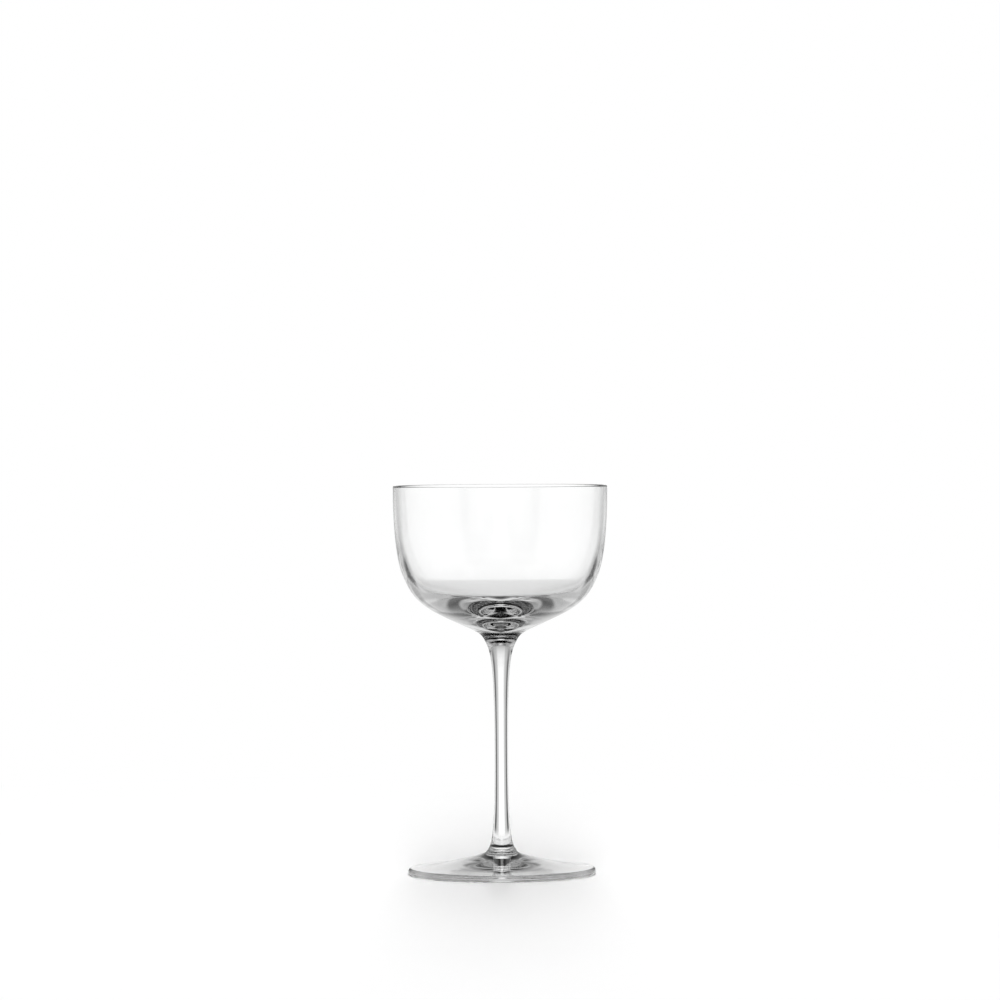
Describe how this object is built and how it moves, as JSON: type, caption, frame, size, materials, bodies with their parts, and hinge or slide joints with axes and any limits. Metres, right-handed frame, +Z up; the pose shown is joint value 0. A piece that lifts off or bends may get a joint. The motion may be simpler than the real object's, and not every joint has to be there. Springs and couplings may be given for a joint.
{
  "type": "nick and nora glass",
  "caption": "Small clear stemmed cocktail glass with a rounded upright bowl, heavy solid base, slim drawn stem and low conical foot.",
  "frame": {"origin": "middle of the foot's underside, at the height of the table that the resting ring stands on", "axes": "+Z up the stem through the middle of the rim; the glass is round, so +X and +Y are any two directions across it"},
  "size_m": [0.08, 0.08, 0.145],
  "materials": {
    "bowl_glass": "clear fire-polished blown glass",
    "stem_glass": "clear drawn glass",
    "foot_glass": "clear pressed and fire-polished glass"
  },
  "bodies": {
    "root": {"bowl": "bowl_glass", "stem": "stem_glass", "foot": "foot_glass"}
  },
  "joints": []
}
